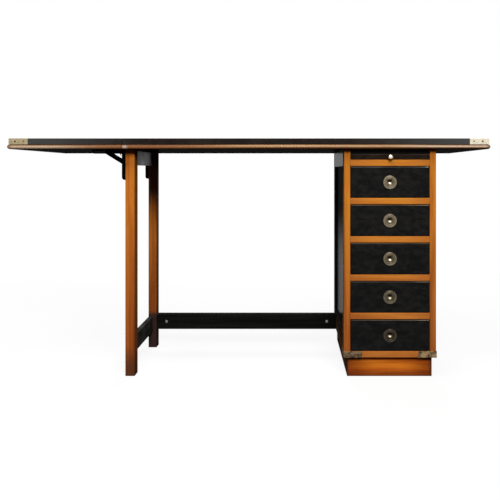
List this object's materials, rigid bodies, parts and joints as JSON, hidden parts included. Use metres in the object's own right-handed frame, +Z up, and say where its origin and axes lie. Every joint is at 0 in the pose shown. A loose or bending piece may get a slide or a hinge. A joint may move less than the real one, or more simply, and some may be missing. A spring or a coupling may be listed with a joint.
{
  "type": "campaign desk",
  "caption": "Campaign-style writing desk with a black top, folding side leaf on steel brackets, leg frame with stretcher, and a drawer pedestal with a pull-out writing slide.",
  "frame": {"origin": "on the floor, under the middle of the top with its leaf raised", "axes": "+Z up, +X along the top from the leaf towards the drawer pedestal, -Y towards the sitter"},
  "size_m": [1.522, 0.555, 0.76],
  "materials": {
    "black_lacquer": "black lacquer, semi-gloss",
    "honey_wood": "honey stain, satin varnish",
    "plain_wood": "plain sanded wood",
    "aged_brass": "aged, satin",
    "polished_brass": "polished",
    "black_steel": "matt black",
    "zinc_steel": "zinc plated, dull"
  },
  "bodies": {
    "desk_frame": {"top_board": "black_lacquer", "top_lining": "black_lacquer", "top_nosing": "honey_wood", "top_corners": "aged_brass", "front_leg": "honey_wood", "back_leg": "honey_wood", "leg_apron": "black_lacquer", "side_stretcher": "black_lacquer", "long_stretcher": "black_lacquer", "stretcher_bolts": "zinc_steel", "barrel_nuts": "zinc_steel", "bracket_uprights": "black_steel", "bracket_pins": "black_steel", "bracket_screws": "black_steel", "left_stile": "honey_wood", "right_stile": "honey_wood", "front_rails": "honey_wood", "back_posts": "black_lacquer", "side_rails": "black_lacquer", "left_side_panel": "black_lacquer", "right_side_panel": "black_lacquer", "back_panel": "black_lacquer", "carcass_top": "black_lacquer", "carcass_bottom": "plain_wood", "drawer_runners": "plain_wood", "plinth": "honey_wood", "brass_shoes": "aged_brass", "corner_screws": "aged_brass"},
    "leaf": {"leaf_board": "black_lacquer", "leaf_lining": "black_lacquer", "leaf_nosing": "honey_wood", "leaf_corners": "aged_brass", "leaf_corner_screws": "aged_brass", "bracket_arms": "black_steel", "arm_screws": "black_steel"},
    "front_strut": {"front_strut": "black_steel"},
    "rear_strut": {"rear_strut": "black_steel"},
    "writing_slide": {"slide_board": "plain_wood", "slide_edge": "black_lacquer", "slide_knob": "polished_brass"},
    "drawer_1": {"drawer_1_front": "black_lacquer", "drawer_1_box": "plain_wood", "drawer_1_pull_plate": "aged_brass"},
    "ring_1": {"drawer_1_pull_ring": "aged_brass"},
    "drawer_2": {"drawer_2_front": "black_lacquer", "drawer_2_box": "plain_wood", "drawer_2_pull_plate": "aged_brass"},
    "ring_2": {"drawer_2_pull_ring": "aged_brass"},
    "drawer_3": {"drawer_3_front": "black_lacquer", "drawer_3_box": "plain_wood", "drawer_3_pull_plate": "aged_brass"},
    "ring_3": {"drawer_3_pull_ring": "aged_brass"},
    "drawer_4": {"drawer_4_front": "black_lacquer", "drawer_4_box": "plain_wood", "drawer_4_pull_plate": "aged_brass"},
    "ring_4": {"drawer_4_pull_ring": "aged_brass"},
    "drawer_5": {"drawer_5_front": "black_lacquer", "drawer_5_box": "plain_wood", "drawer_5_pull_plate": "aged_brass"},
    "ring_5": {"drawer_5_pull_ring": "aged_brass"}
  },
  "joints": [
    {"name": "leaf_hinge", "type": "hinge", "parent": "desk_frame", "child": "leaf", "pos_m": [-0.406, 0, 0.718], "axis": [0, -1, 0], "range_deg": [0, 90]},
    {"name": "front_strut_pivot", "type": "hinge", "parent": "desk_frame", "child": "front_strut", "pos_m": [-0.406, -0.2168, 0.684], "axis": [0, -1, 0], "range_deg": [0, 121.8]},
    {"name": "rear_strut_pivot", "type": "hinge", "parent": "desk_frame", "child": "rear_strut", "pos_m": [-0.406, 0.1482, 0.684], "axis": [0, -1, 0], "range_deg": [0, 121.8]},
    {"name": "slide_pull", "type": "slide", "parent": "desk_frame", "child": "writing_slide", "axis": [0, -1, 0], "range_m": [0, 0.3]},
    {"name": "drawer_1_slide", "type": "slide", "parent": "desk_frame", "child": "drawer_1", "axis": [0, -1, 0], "range_m": [0, 0.33]},
    {"name": "ring_1_swing", "type": "hinge", "parent": "drawer_1", "child": "ring_1", "pos_m": [0.4485, -0.2521, 0.63525], "axis": [-1, 0, 0], "range_deg": [0, 90]},
    {"name": "drawer_2_slide", "type": "slide", "parent": "desk_frame", "child": "drawer_2", "axis": [0, -1, 0], "range_m": [0, 0.33]},
    {"name": "ring_2_swing", "type": "hinge", "parent": "drawer_2", "child": "ring_2", "pos_m": [0.4485, -0.2521, 0.51325], "axis": [-1, 0, 0], "range_deg": [0, 90]},
    {"name": "drawer_3_slide", "type": "slide", "parent": "desk_frame", "child": "drawer_3", "axis": [0, -1, 0], "range_m": [0, 0.33]},
    {"name": "ring_3_swing", "type": "hinge", "parent": "drawer_3", "child": "ring_3", "pos_m": [0.4485, -0.2521, 0.39125], "axis": [-1, 0, 0], "range_deg": [0, 90]},
    {"name": "drawer_4_slide", "type": "slide", "parent": "desk_frame", "child": "drawer_4", "axis": [0, -1, 0], "range_m": [0, 0.33]},
    {"name": "ring_4_swing", "type": "hinge", "parent": "drawer_4", "child": "ring_4", "pos_m": [0.4485, -0.2521, 0.26925], "axis": [-1, 0, 0], "range_deg": [0, 90]},
    {"name": "drawer_5_slide", "type": "slide", "parent": "desk_frame", "child": "drawer_5", "axis": [0, -1, 0], "range_m": [0, 0.33]},
    {"name": "ring_5_swing", "type": "hinge", "parent": "drawer_5", "child": "ring_5", "pos_m": [0.4485, -0.2521, 0.14725], "axis": [-1, 0, 0], "range_deg": [0, 90]}
  ],
  "couplings": [
    {"joint": "front_strut_pivot", "follows": "leaf_hinge", "ratio": 1.3525},
    {"joint": "rear_strut_pivot", "follows": "leaf_hinge", "ratio": 1.3525}
  ]
}
